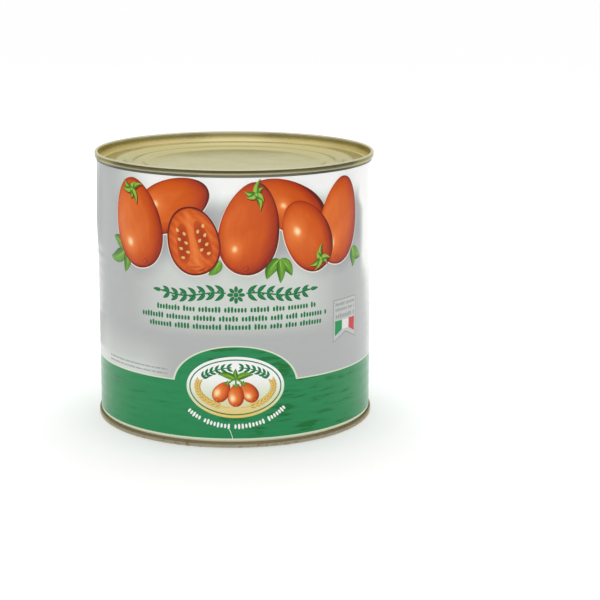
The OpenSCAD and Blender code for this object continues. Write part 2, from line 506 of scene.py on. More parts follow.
def field(at, outline, lift, tilt=0.0, rings=3, paint=0.5):
    """A field inside an outline: the outline, anticlockwise about at, shrunk ring by ring onto
    its middle. Its lower side lies in the paper. Paint is its tone, or gives it from the
    share of the way out and the place in the field."""
    share = np.concatenate([[0, 1], np.linspace(1, 0, rings + 1)])[:, None]
    lifts = np.concatenate([[-DEPTH, -DEPTH], np.full(rings + 1, lift)])[:, None]
    x, y = share * outline[0][None, :], share * outline[1][None, :]
    dx, dy = turned(x, y, tilt)
    tone = paint(share, x, y) if callable(paint) else paint
    return printed(at[0] + dx, at[1] + dy, lifts + 0 * x, x, y, tone)


def oval(size, taper=0.0, square=1.0, steps=24):
    """An ellipse's outline, its sine and cosine raised to the power square, which makes it
    squarer below 1, and drawn in towards its top by taper."""
    a = np.linspace(0, 2 * pi, steps + 1)
    up = np.sign(np.sin(a)) * np.abs(np.sin(a)) ** square
    right = np.sign(np.cos(a)) * np.abs(np.cos(a)) ** square * (1 - taper * up * (1 + 0.6 * up))
    return right * size[0] / 2, up * size[1] / 2


def spot(at, size, lift, tilt=0.0, taper=0.0, square=1.0, rings=3, steps=24, paint=0.5):
    """A field inside an oval."""
    return field(at, oval(size, taper, square, steps), lift, tilt, rings, paint)


def polygon(corners):
    """The outline through the corners, anticlockwise, with a point about every millimetre."""
    corners = np.array([*corners, corners[0]], float)
    along = np.concatenate([[0], np.cumsum(np.linalg.norm(np.diff(corners, axis=0), axis=1))])
    places = np.unique(np.concatenate([np.arange(0, along[-1], 1.0), along]))
    return np.interp(places, along, corners[:, 0]), np.interp(places, along, corners[:, 1])


def strip(path, half_width, lift, columns=2, paint=0.5):
    """A field along a path: at each point it reaches half_width to both sides. Its lower
    side lies in the paper, and its two ends close in a point. Paint is its tone, or gives
    it from the shares of the way along and of the way out to a side, -1 to 1."""
    path = np.asarray(path, float)
    half_width = np.broadcast_to(half_width, len(path))
    step = np.gradient(path, axis=0)
    step /= np.linalg.norm(step, axis=1)[:, None]
    along = np.concatenate([[0], np.cumsum(np.linalg.norm(np.diff(path, axis=0), axis=1))])
    side = np.concatenate([np.linspace(-1, 1, columns + 1), [1, -1, -1]])[None, :]
    lifts = np.concatenate([np.full(columns + 1, lift), [-DEPTH, -DEPTH, lift]])[None, :]
    rows = np.concatenate([[0], np.arange(len(path)), [len(path) - 1]])
    x = side * half_width[rows, None]
    x[[0, -1]] = 0
    y = along[rows, None] + 0 * x
    across = path[rows, :1] + step[rows, 1:] * x
    height = path[rows, 1:] - step[rows, :1] * x
    tone = paint(y / along[-1], side + 0 * x) if callable(paint) else paint
    return printed(across, height, lifts + 0 * x, x, y, tone)


def curve(start, bend, stop, points=14):
    """A path from start to stop that is drawn towards bend: a quadratic Bezier."""
    t = np.linspace(0, 1, points)[:, None]
    return (1 - t) ** 2 * np.array(start) + 2 * t * (1 - t) * np.array(bend) + t**2 * np.array(stop)


def bow(middle, half, start, stop, points):
    """A path round an ellipse about a middle, between two angles in degrees."""
    turn = np.radians(np.linspace(start, stop, points))
    return np.array(middle) + np.column_stack([half[0] * np.cos(turn), half[1] * np.sin(turn)])


def leaf_paint(share, side):
    """Lighter on a leaf's left half and darker at its edge, with a pale midrib."""
    return 0.48 - 0.16 * side - 0.3 * np.abs(side) ** 4 + 0.4 * bell(side, 0.14) * (1 - share)


def leaf(root, tip, sag, width, lift, points=15, columns=8):
    """A leaf: a strip along a bent midrib, about as wide as the sine of the way along it. The
    midrib is drawn to its left by sag, a share of its length."""
    root, tip = np.array(root, float), np.array(tip, float)
    middle = (root + tip) / 2 + sag * np.array([-(tip - root)[1], (tip - root)[0]])
    t = np.linspace(0, 1, points)
    half = width / 2 * np.sin(pi * t**0.8) ** 0.75 * (1 - 0.25 * t)
    return strip(curve(root, middle, tip, points), half, lift, columns, leaf_paint)


def leaf_pairs(stalk, places, reach, sag, width, lift, climb=0.0):
    """Pairs of small leaves at places along a stalk. Each reaches ahead and out to its side,
    and each pair lies a climb higher than the last."""
    skins = []
    for i, place in enumerate(places):
        root, after = stalk[place : place + 2]
        ahead = (after - root) / np.linalg.norm(after - root)
        for hand in (-1, 1):
            out = hand * np.array([-ahead[1], ahead[0]])
            tip = root + reach[0] * ahead + reach[1] * out
            skins.append(leaf(root, tip, sag * hand, width, lift + climb * i, 9, 4))
    return skins


def seed_row(start, stop, level, size, seed, lift=0.03, place=None):
    """A row of upright seeds in groups, tall and short by chance, as a plain filling ornament.
    Its widths and spaces are shares of its size. Place, if given, bends the row: it gives
    the place and the tilt of the seed at x."""
    rng = np.random.default_rng(seed)
    skins = []
    x, left = start, 0
    while x < stop:
        if left == 0:
            left = int(rng.integers(4, 10))
            x += size * 0.45
        tall = size * (1.0 if rng.random() < 0.35 else 0.78)
        across, height, tilt = place(x) if place else (x, level + (tall - size) * 0.3, 0.0)
        skins.append(spot((across, height), (size * 0.4, tall), lift, tilt, 0, 0.8, 1, 12))
        x += size * 0.54
        left -= 1
    return skins


# ---------------------------------------------------------------- fruit picture


# A fruit: its middle, (width, length), clockwise tilt of the upper end, narrowing of the
# upper end, how much deeper than the rest its colour is, and where its highlight lies, as
# shares of its size
Fruit = namedtuple("Fruit", "at size tilt taper depth spark", defaults=(0.0, (0, 0)))

# From the back to the front
FRUIT = [
    Fruit((-35, 131.5), (27, 46), 66, 0.10, 0.0, (-0.14, -0.2)),
    Fruit((31, 130.5), (26, 48), -60, 0.12, 0.06, (-0.05, 0.1)),
    Fruit((-57.5, 120), (33, 49), -12, 0.12, -0.05, (-0.22, -0.2)),
    Fruit((63.5, 120.5), (30, 48), 10, 0.14, -0.04, (-0.14, -0.27)),
    Fruit((41, 114.5), (28, 42), -30, 0.12, 0.0, (-0.16, 0.14)),
    Fruit((8, 120.0), (32, 50), 9, 0.17, 0.05, (-0.2, -0.24)),
]
CUT_FRUIT = Fruit((-22.5, 113), (29, 37), -12, 0.05)
# Fruit that shows its calyx, and at which end: 1 the upper, -1 the lower
CALYX = [(2, 1), (4, -1), (5, 1)]


def on_fruit(fruit, right, up):
    """A place on a fruit, from its middle."""
    dx, dy = turned(right, up, fruit.tilt)
    return np.array([fruit.at[0] + dx, fruit.at[1] + dy])


def fruit_field(fruit, lift, rings, steps, paint=0.5, grown=(0, 0), moved=(0, 0)):
    """A field in a fruit's outline, grown and moved by some millimetres."""
    at = (fruit.at[0] + moved[0], fruit.at[1] + moved[1])
    size = (fruit.size[0] + grown[0], fruit.size[1] + grown[1])
    return spot(at, size, lift, fruit.tilt, fruit.taper, 0.92, rings, steps, paint)


def fruit_paint(fruit):
    """Light on a painted fruit.

    Its surface is taken as a flat-topped dome lit from the upper left, darker by its depth.
    A soft highlight with a wide weak glow lies at its spark, and a scar at the blossom
    end. Its edge is a thin dark line, fainter on the lit side.
    """
    width, length = fruit.size

    def paint(share, x, y):
        nx, ny = turned(x / (width / 2), y / (length / 2), fruit.tilt)
        steep = np.hypot(nx, ny) ** 0.9
        away_side = np.clip(0.62 + 0.45 * nx - 0.35 * ny, 0.25, 1)
        nx, ny = nx * steep, ny * steep
        light = -0.42 * nx + 0.2 * ny + 0.88 * np.sqrt(np.clip(1 - (nx**2 + ny**2), 0, 1))
        tone = 0.06 - fruit.depth + 0.56 * np.clip(light, 0, 1) - 0.1 * ny
        away = np.hypot(x - fruit.spark[0] * width, (y - fruit.spark[1] * length) * 0.8)
        shine = 0.26 * bell(away, 1.5) + 0.2 * bell(away, 4.4)
        away = np.hypot(x - 0.04 * width, y + 0.43 * length)
        pit = 0.2 * bell(away, 0.6) - 0.2 * bell(away - 1.0, 0.45)
        edge = soft_step(share, 0.93, 1.0) * away_side
        return (tone + shine + pit) * (1 - edge)

    return paint


def fruit_skins():
    """Whole fruit, each a step nearer than the last, and the skin of the cut one."""
    skins = []
    for i, fruit in enumerate(FRUIT):
        skins.append(fruit_field(fruit, 0.04 + 0.012 * i, 32, 96, fruit_paint(fruit)))
    skins.append(fruit_field(CUT_FRUIT, 0.115, 12, 72, lambda share, x, y: 0.24 - 0.24 * share**8))
    return skins


def halo_skins():
    """A thin pale edge round the group of fruit, a little low, so that it shows most below."""
    return [
        fruit_field(fruit, 0.025, 24, 96, grown=(0.8, 0.7), moved=(-0.05, -0.3))
        for fruit in [*FRUIT, CUT_FRUIT]
    ]


def cut_skins():
    """The cut face: flesh that deepens towards its rim, two seed chambers and a pale core
    between them; and its seeds, in two rows for each chamber."""

    def flesh_paint(share, x, y):
        return 0.6 + 0.08 * np.sin(x * 1.3 + y) * share - 0.2 * share**6 + 0.12 * bell(x, 1.6)

    def gel_paint(share, x, y):
        return 0.22 + 0.24 * share**3

    tilt = CUT_FRUIT.tilt
    chamber = 5.6  # from the fruit's middle to a chamber's
    flesh = [fruit_field(CUT_FRUIT, 0.125, 12, 72, flesh_paint, grown=(-2, -2))]
    seeds = []
    for way in (-1, 1):
        at = on_fruit(CUT_FRUIT, way * chamber, -0.5)
        flesh.append(spot(at, (7.4, 22), 0.135, tilt - way * 7, 0.1, 0.8, 8, 48, gel_paint))
        for i in range(7):
            at = on_fruit(CUT_FRUIT, way * (chamber + 1.7 * (-1) ** i), 7.2 - 2.5 * i)
            seeds.append(spot(at, (1.5, 2.3), 0.145, tilt + way * (20 + 9 * i), 0.35, 1, 2, 16))
    return flesh, seeds


def calyx_skins():
    """The calyces: six pointed sepals round a short stem, and under them their own shadow on
    the fruit. A sepal is a strip along a bent path, widest near its root."""

    def sepal_paint(share, side):
        return 0.6 - 0.34 * side - 0.34 * side**4 + 0.3 * bell(side, 0.2) * (1 - share)

    def stem_paint(share, x, y):
        return 0.9 - 0.5 * share

    sepals, shades = [], []
    t = np.linspace(0, 1, 14)
    width = (1 - t) ** 0.8 * (0.36 + 2.3 * t * (1 - t))
    for index, end in CALYX:
        fruit = FRUIT[index]
        centre = on_fruit(fruit, 0.4, end * fruit.size[1] * 0.37)
        for i in range(6):
            way = radians(60 * i + 14 * (-1) ** i + fruit.tilt + 20 * end)
            reach = 7.0 + 1.9 * sin(2.3 * i + index)
            tip = centre + reach * np.array([cos(way), sin(way)])
            middle = centre + 0.5 * reach * np.array([cos(way + 0.45), sin(way + 0.45)])
            path = curve(centre, middle, tip)
            sepals.append(strip(path, 2.3 * width + 0.04, 0.15 + 0.002 * i, 6, sepal_paint))
            shades.append(strip(path + [0.45, -0.55], 2.7 * width + 0.12, 0.141, paint=0.1))
        sepals.append(spot(centre, (2.4, 2.4), 0.168, steps=20, paint=stem_paint))
    return sepals, shades


def basil_skins():
    """Basil sprigs beside and between the fruit: each leaf's root, tip, sag and width."""
    leaves = [
        ((-67, 104), (-82, 98), 0.22, 8.5), ((-67, 104), (-78, 110), -0.2, 7.5),
        ((-66, 104), (-68, 91.5), 0.2, 7), ((24, 103), (17, 92.5), -0.2, 7.5),
        ((24, 103), (31, 93.5), 0.2, 6.5), ((24, 103), (24.5, 90), 0.1, 5.5),
        ((75, 104), (85, 97), -0.2, 7.5), ((75, 104), (76, 92.5), 0.2, 7),
        ((-8, 103), (-14, 95.0), 0.15, 6.5),
    ]
    return [leaf(*shape, 0.03 + 0.004 * i) for i, shape in enumerate(leaves)]


# ---------------------------------------------------------------- emblem


EMBLEM_AT = (0.0, 33.7)


def emblem_skins():
    """The emblem's pale oval; its ring and laurel; its ears of wheat; its fruit; its leaves."""

    def plate_paint(share, x, y):
        return 0.62 + y / 26

    plate = [spot(EMBLEM_AT, (53.6, 34), 0.03, rings=20, steps=96, paint=plate_paint)]
    ring = [strip(bow(EMBLEM_AT, (24.9, 15.2), -90, 272, 140), 0.32, 0.06)]
    ears = []
    for way in (-1, 1):
        stalk = bow(EMBLEM_AT, (way * 20.6, 11.4), -82, 14, 26)
        ears.append(strip(stalk, 0.28, 0.065))
        ears += leaf_pairs(stalk, range(4, 26, 2), (2.9, 1.5), 0.12, 1.7, 0.07, 0.001)
        stalk = bow(EMBLEM_AT, (way * 20.2, 11.0), 28, 84, 18)
        ring.append(strip(stalk, 0.3, 0.065))
        ring += leaf_pairs(stalk, range(0, 18, 3), (3.0, 2.2), 0.15, 1.6, 0.07)

    size, taper = (8.6, 12.6), 0.16
    fruit = []
    for i, (at, tilt) in enumerate([((-7.4, 31.2), 34), ((7.4, 31.0), -34), ((0.3, 29.2), 3)]):
        paint = fruit_paint(Fruit(at, size, tilt, taper, 0.0, (-0.2, -0.14)))
        fruit.append(spot(at, size, 0.09 + 0.01 * i, tilt, taper, 0.94, 12, 48, paint))

    leaves = [
        leaf((0, 38.2), (-9.5, 41.0), -0.2, 4.0, 0.13),
        leaf((0, 38.2), (9.8, 40.6), 0.2, 4.0, 0.13),
        leaf((0.4, 37.6), (0.2, 44.2), 0.1, 3.2, 0.13),
    ]
    for foot in [(-4.2, 36.0), (4.4, 35.8), (0.3, 34.8)]:
        leaves.append(strip(curve((0.2, 38.4), (foot[0] * 0.4, 38.0), foot), 0.45, 0.14))
        for i in range(5):
            way = radians(72 * i + 20)
            tip = np.array(foot) + [2.1 * cos(way), 1.7 * sin(way)]
            leaves.append(leaf(foot, tip, 0.15, 1.0, 0.145, 7, 2))
    return plate, ring, ears, fruit, leaves


# ---------------------------------------------------------------- ornaments


def garland_skins():
    """The ornament in the title's place: two laurel branches that grow outwards from a small
    rosette, each a thin stem with pairs of leaves and berries."""
    middle, level = 0.5, 84.5
    skins = []

    def wave(along):
        return level + 1.1 * np.sin(along / 6.1)

    for way in (-1, 1):
        along = np.linspace(5.5, 42, 30)
        stem = np.column_stack([middle + way * along, wave(along)])
        skins.append(strip(stem, 0.42, 0.03))
        for i in range(7):
            reach = 6.4 - 0.25 * i
            root = np.array([middle + way * (6.5 + 5.1 * i), wave(6.5 + 5.1 * i)])
            for up in (-1, 1):
                tip = root + reach * np.array([way * 0.78, up * 0.66])
                skins.append(leaf(root, tip, 0.18 * up * way, 2.5, 0.035, 9, 4))
            berry = root + np.array([way * 2.9, (-1) ** i * 0.9])
            skins.append(spot(berry, (1.3, 1.3), 0.04, rings=2, steps=14))
        skins.append(leaf(stem[-1], stem[-1] + [way * 5.2, 0.4], 0, 2.3, 0.035, 9, 4))
    for i in range(8):
        way = radians(45 * i)
        petal = np.array([middle + 3.1 * cos(way), level + 3.1 * sin(way)])
        skins.append(spot(petal, (2.0, 3.4), 0.035, 90 - 45 * i, rings=2, steps=16))
    skins.append(spot((middle, level), (2.6, 2.6), 0.045, rings=2, steps=20))
    return skins


def line_skins():
    """Three rows of seeds below the garland: start, stop, level, size and random seed."""
    rows = [(-45, 47, 76.4, 3.3, 3), (-55, 52, 71.5, 3.3, 5), (-50, 50, 66.9, 3.3, 8)]
    return [skin for row in rows for skin in seed_row(*row)]


def band_mark_skins():
    """White seeds in a bow under the emblem, and the crack of a crease below them."""
    width, rise = 32.4, 21.9

    def on_bow(x):
        turn = x / 27.5 - pi / 2
        slope = degrees(np.arctan2(rise * cos(turn), -width * sin(turn)))
        return EMBLEM_AT[0] + width * cos(turn), EMBLEM_AT[1] + rise * sin(turn), -slope

    crease = strip(curve((-3.4, 10.4), (-2.0, 7.5), (-1.5, 4.4)), 0.14, 0.03)
    return [*seed_row(-26, 26.5, 0, 3.1, 21, place=on_bow), crease]


def tag_skins():
    """The swallow-tailed tag: its grey edge and rows of seeds; its silver ground; its white,
    its green and its red bar."""
    middle = (69.4, 66.0)

    def tail(inset):
        half, top = 10.6 - inset, 10.4 - inset
        low = -13.5 + 1.5 * inset
        return polygon([(-half, low), (0, low + 4.6), (half, low), (half, top), (-half, top)])

    def bar(left, right):
        top = -1.6
        low = [-9.8 + 4.4 * (1 - abs(x) / 9.0) for x in (left, right)]
        centre = ((left + right) / 2, -5.0)
        corners = [(left, low[0]), (right, low[1]), (right, top), (left, top)]
        corners = [(x - centre[0], y - centre[1]) for x, y in corners]
        return [field((middle[0] + centre[0], middle[1] + centre[1]), polygon(corners), 0.06)]

    edge = [field(middle, tail(0), 0.03, rings=12)]
    for level, size, seed in [(73.6, 2.1, 31), (70.6, 2.1, 32), (66.9, 3.0, 33)]:
        edge += seed_row(60.2, 78.2, level, size, seed, 0.055)
    ground = [field(middle, tail(0.55), 0.04, rings=12)]
    return edge, ground, bar(-3.1, 3.1), bar(-9.0, -3.1), bar(3.1, 9.0)


def rear_skins():
    """The back: a column of seed rows at one side of the overlap and a ruled table of them at
    the other, each under a row of larger seeds."""
    skins = seed_row(-214, -150, 118, 4.4, 41)
    for i in range(8):
        skins += seed_row(-214, -136 - 9 * (i % 3), 109 - 6.2 * i, 2.3, 50 + i)
    skins += seed_row(140, 196, 118, 4.4, 42)
    for i in range(7):
        level = 111 - 7.4 * i
        skins.append(strip([(140 + 2 * k, level) for k in range(41)], 0.2, 0.03))
        if i < 6:
            skins += seed_row(142, 182 - 6 * (i % 2), level - 3.8, 2.3, 60 + i)
            skins += seed_row(204, 216, level - 3.8, 2.3, 70 + i)
    return skins


def fine_skins():
    """Two fine rows low down at the front's left."""
    return seed_row(-86, -38, 41.6, 1.15, 81) + seed_row(-86, -38, 39.2, 1.15, 82)


# ---------------------------------------------------------------- materials


def add(tree, kind, inputs=None, **settings):
    """Adds a shader node. An input gets a value, the socket it is linked from, or a node, for
    the first output that the node has in use. A setting is one of the node's own
    properties, and stops are a colour ramp's places and colours."""
    node = tree.nodes.new("ShaderNode" + kind)
    for name, value in settings.items():
        if name == "stops":
            elements = node.color_ramp.elements
            elements.remove(elements[1])
            for i, (place, colour) in enumerate(value):
                element = elements[0] if i == 0 else elements.new(place)
                element.position, element.color = place, (*colour, 1)
        else:
            setattr(node, name, value)
    for name, value in (inputs or {}).items():
        socket = node.inputs[name]
        if isinstance(value, bpy.types.Node):
            value = next(output for output in value.outputs if output.enabled)
        if isinstance(value, bpy.types.NodeSocket):
            tree.links.new(value, socket)
        else:
            socket.default_value = (*value[:3], 1) if socket.type == "RGBA" else value
    return node


def new_tree(name):
    """An empty material and its node tree."""
    material = bpy.data.materials.new(name)
    material.use_nodes = True
    material.node_tree.nodes.clear()
    return material, material.node_tree


def per_mm(across, along=None, through=None):
    """Scale of a Mapping node on metres, so that one unit of a pattern is this many mm."""
    along = along or across
    return (1 / (across * MM), 1 / (along * MM), 1 / ((through or along) * MM))


FINE = 0.02 * MM  # depth of grain, scratches and paper fibre


def stoved_lacquer(name, colours, face, middle, sides, rust_share):
    """Gold stoving lacquer on tinplate, roller-coated before the end was pressed.

    The eye sees satin gold metal, cloudy over 20 mm and with a faint grain. On the seam the
    rolls have dulled it to olive with fine scratches along the rim, and the seam that the tin
    stands on also has brown specks. Light and shade are painted on the rim: bright at the
    chuck wall's foot, darker at its top and inside the crown, a painted highlight on the
    crown, where the lacquer is also rubbed thin, and painted shade under it and at the seam's
    foot. Middle and sides are the colours of the chuck wall's foot, of the line under the
    crown and of the seam's foot, at the middle of the front and back and towards the sides.
    """
    material, tree = new_tree(name)
    place = add(tree, "TexCoord").outputs["Object"]
    flat = add(tree, "UVMap", uv_map="flat")
    tone = add(tree, "Attribute", attribute_name="tone").outputs["Fac"]

    # Clouds of 20 mm, specks of 1.6 mm, scratches 9 mm long and 0.3 mm wide, and a grain of
    # 9 by 0.6 mm. The last two are coarser than real ones, which wouldn't show
    clouds, specks, scratches, grain = [
        add(tree, "TexNoise", {
            "Vector": add(tree, "Mapping", {"Vector": spread, "Scale": scale}),
            "Scale": 1, "Detail": detail, "Roughness": roughness,
        })
        for spread, scale, detail, roughness in [
            (place, per_mm(20), 3, 0.6), (place, per_mm(1.6), 2, 0.5),
            (flat, (1 / 9, 1 / 0.3, 1), 2, 0.5), (place, per_mm(9, 0.6), 2, 0.5),
        ]
    ]

    # Cloudy gold over the panel, deeper over the rings
    gold = add(tree, "ValToRGB", {"Fac": clouds}, stops=[
        (0.3, colours.lacquer_deep), (0.7, colours.lacquer_pale),
    ])
    along = add(tree, "SeparateXYZ", {0: flat}).outputs["Y"]
    outward = add(tree, "MapRange", {"Value": along, "From Min": 38, "From Max": 54},
                  interpolation_type="SMOOTHSTEP")
    # Up the chuck wall, over the crown and down the seam, at the middle and at the sides: painted
    # light and shade, bright at the wall's foot, dark at its top and inside the crown, a painted
    # highlight on the crest, and dark below it and at the seam's foot, with the seam's own colour
    # on its face
    rims = [
        add(tree, "ValToRGB", {"Fac": tone}, stops=[
            (0.05, wall), (0.12, wall), (0.23, colours.wall_top_shade),
            (0.3, colours.crown_edge_shade), (0.35, colours.crown_edge_shade),
            (0.43, colours.crest_highlight_and_wear), (0.55, colours.crest_highlight_and_wear), (0.62, shoulder_shade),
            (0.77, shoulder_shade), (0.88, face), (0.95, face), (1.0, foot),
        ])
        for wall, shoulder_shade, foot in (middle, sides)
    ]
    # Painted light: the rim's colours go from those of the middle of the front and back to those of
    # the sides, by the distance across X
    aside = add(tree, "Math", {0: add(tree, "SeparateXYZ", {0: place})}, operation="ABSOLUTE")
    at_side = add(tree, "MapRange", {"Value": aside, "From Min": 10 * MM, "From Max": 34 * MM},
                  interpolation_type="SMOOTHSTEP")
    rim_colour_and_painted_light = add(tree, "Mix", {"Factor": at_side, "A": rims[0], "B": rims[1]}, data_type="RGBA")
    on_rim = add(tree, "MapRange", {"Value": tone, "From Min": 0.0, "From Max": 0.03})
    on_seam = add(tree, "MapRange", {"Value": tone, "From Min": 0.42, "From Max": 0.5})
    speck = add(tree, "MapRange", {"Value": specks, "From Min": 0.56, "From Max": 0.68,
                                   "To Max": rust_share})
    speck_seam = add(tree, "Math", {0: speck, 1: on_seam}, operation="MULTIPLY")
    colour = gold
    for share, over in [
        (outward, colours.lacquer_ring), (on_rim, rim_colour_and_painted_light), (speck_seam, colours.rust),
    ]:
        colour = add(tree, "Mix", {"Factor": share, "A": colour, "B": over}, data_type="RGBA")

    # Rough and fine along the lines of scratches and grain, duller where the wall is drawn
    lines = add(tree, "Mix", {"Factor": on_seam, "A": grain, "B": scratches})
    satin = add(tree, "MapRange", {"Value": lines, "From Min": 0.3, "From Max": 0.7,
                                   "To Min": 0.17, "To Max": 0.27})
    on_wall = add(tree, "MapRange", {"Value": tone, "From Min": 0.25, "From Max": 0.1})
    drawn = add(tree, "Math", {0: on_wall, 1: on_rim}, operation="MULTIPLY")
    rough = add(tree, "Math", {0: drawn, 1: 0.22, 2: satin}, operation="MULTIPLY_ADD")
    bump = add(tree, "Bump", {"Height": lines, "Strength": 0.3, "Distance": FINE})
    metal = add(tree, "BsdfPrincipled", {"Base Color": colour, "Metallic": 1.0, "Roughness": rough,
                                         "Specular Tint": colours.grazing, "Normal": bump})
    add(tree, "OutputMaterial", {"Surface": metal})
    return material


def rolled_tinplate(name, colours):
    """Electrolytic tinplate, cold-rolled, its grain round the wall: the eye sees a satin
    grey-gold metal with fine bright and dark lines along the rim. Its colours are darkened as
    painted shade for the gap under the upper seam, and painted lighter at the foot."""
    material, tree = new_tree(name)
    place = add(tree, "TexCoord").outputs["Object"]
    grain_at = add(tree, "Mapping", {"Vector": place, "Scale": per_mm(30, 30, 0.35)})
    grain = add(tree, "TexNoise", {"Vector": grain_at, "Scale": 1, "Detail": 3})
    stops = [(0.3, colours.tin_dark), (0.7, colours.tin_light)]
    tin = add(tree, "ValToRGB", {"Fac": grain}, stops=stops)
    level = add(tree, "SeparateXYZ", {0: place}).outputs["Z"]
    # Painted light: lighter at the foot, below the label, than in the painted shade under the upper
    # seam
    low = add(tree, "MapRange", {"Value": level, "From Min": 12 * MM, "From Max": 6 * MM})
    colour = add(tree, "Mix", {"Factor": low, "A": tin, "B": colours.tin_foot_painted_light}, data_type="RGBA")
    rough = add(tree, "MapRange", {"Value": grain, "To Min": 0.25, "To Max": 0.45})
    bump = add(tree, "Bump", {"Height": grain, "Strength": 0.3, "Distance": FINE})
    metal = add(tree, "BsdfPrincipled", {"Base Color": colour, "Metallic": 1.0, "Roughness": rough,
                                         "Normal": bump})
    add(tree, "OutputMaterial", {"Surface": metal})
    return material


def varnished(tree, colour):
    """Ends a tree in gloss varnish over a coloured paper: the eye sees glossier and duller
    patches of 8 mm, and cockles of 14 mm with the paper's fibre of 0.7 mm on them."""
    place = add(tree, "TexCoord").outputs["Object"]
    patches, cockles, fibre = [
        add(tree, "TexNoise", {
            "Vector": add(tree, "Mapping", {"Vector": place, "Scale": per_mm(size)}),
            "Scale": 1, "Detail": detail,
        })
        for size, detail in [(8, 2), (14, 1), (0.7, 2)]
    ]
    rough = add(tree, "MapRange", {"Value": patches, "To Min": 0.14, "To Max": 0.26})
    fine = add(tree, "Bump", {"Height": fibre, "Strength": 0.1, "Distance": FINE})
    bump = add(tree, "Bump", {"Height": cockles, "Strength": 0.3, "Distance": 0.2 * MM,
                              "Normal": fine})
    # A water-based varnish is porous, so its IOR is lower than a solid film's
    paper = add(tree, "BsdfPrincipled", {"Base Color": colour, "Roughness": rough, "IOR": 1.36,
                                         "Normal": bump})
    add(tree, "OutputMaterial", {"Surface": paper})


def mottled(tree, flat, grain, detail, uneven):
    """The print's tone, faintly mottled. The grain is (across, along) the printed form, in
    millimetres, and stands for a screen too fine to show."""
    tone = add(tree, "Attribute", attribute_name="tone").outputs["Fac"]
    grain_at = add(tree, "Mapping", {"Vector": flat, "Scale": (1 / grain[0], 1 / grain[1], 1)})
    mottle = add(tree, "TexNoise", {"Vector": grain_at, "Scale": 1, "Detail": detail})
    shift = add(tree, "MapRange", {"Value": mottle, "To Min": -uneven, "To Max": uneven})
    return add(tree, "Math", {0: tone, 1: shift}, operation="ADD")


# The inks: (tone, colour) stops, the size of the grain, and how uneven the ink lies
FRUIT_STOPS = [
    (0.0, "fruit_edge"), (0.04, "fruit_edge"), (0.1, "fruit_dark"), (0.3, "fruit_deep"),
    (0.5, "fruit_mid"), (0.74, "fruit_light"), (1.0, "fruit_shine"),
]
EMBLEM_STOPS = [(0.0, "straw_light"), (0.45, "cream"), (0.8, "paper_white")]
INKS = {
    "fruit": (FRUIT_STOPS, (5, 13), 0.1),
    "flesh": (FRUIT_STOPS, (1.2, 1.2), 0.07),
    "halo": ([(0.2, "silver"), (0.5, "fruit_halo")], (0.9, 0.9), 0.03),
    "leaf": ([(0.05, "leaf_dark"), (0.45, "leaf_mid"), (0.85, "leaf_light")], (0.7, 2.5), 0.16),
    "straw": ([(0.1, "straw_dark"), (0.6, "straw_light")], (0.5, 0.9), 0.1),
    "emblem_ground": (EMBLEM_STOPS, (2.0, 1.0), 0.06),
    "dark_green": ([(0.2, "type_green"), (0.9, "band")], (0.8, 0.8), 0.12),
    "white": ([(0.2, "silver"), (0.5, "paper_white")], (0.9, 0.9), 0.03),
    "silver": ([(0.2, "silver"), (0.9, "glow")], (0.9, 0.9), 0.05),
    "grey": ([(0.2, "plain_grey"), (0.9, "silver")], (0.6, 0.6), 0.1),
    "tag_white": ([(0.1, "glow"), (1.0, "paper_white")], (1.2, 1.2), 0.05),
    "tag_green": ([(0.2, "band"), (0.7, "flag_green")], (1.2, 1.2), 0.1),
    "tag_red": ([(0.2, "fruit_dark"), (0.5, "flag_red")], (1.2, 1.2), 0.08),
}


def offset_print(ink, colours):
    """Offset print under gloss varnish, made when its first piece is printed: the colour
    follows the print's tone, and the eye sees it faintly mottled."""
    name = "offset_print_" + ink
    if name in bpy.data.materials:
        return bpy.data.materials[name]
    stops, grain, uneven = INKS[ink]
    material, tree = new_tree(name)
    tone = mottled(tree, add(tree, "UVMap", uv_map="flat"), grain, 3, uneven)
    stops = [(place, getattr(colours, colour)) for place, colour in stops]
    varnished(tree, add(tree, "ValToRGB", {"Fac": tone}, stops=stops))
    return material


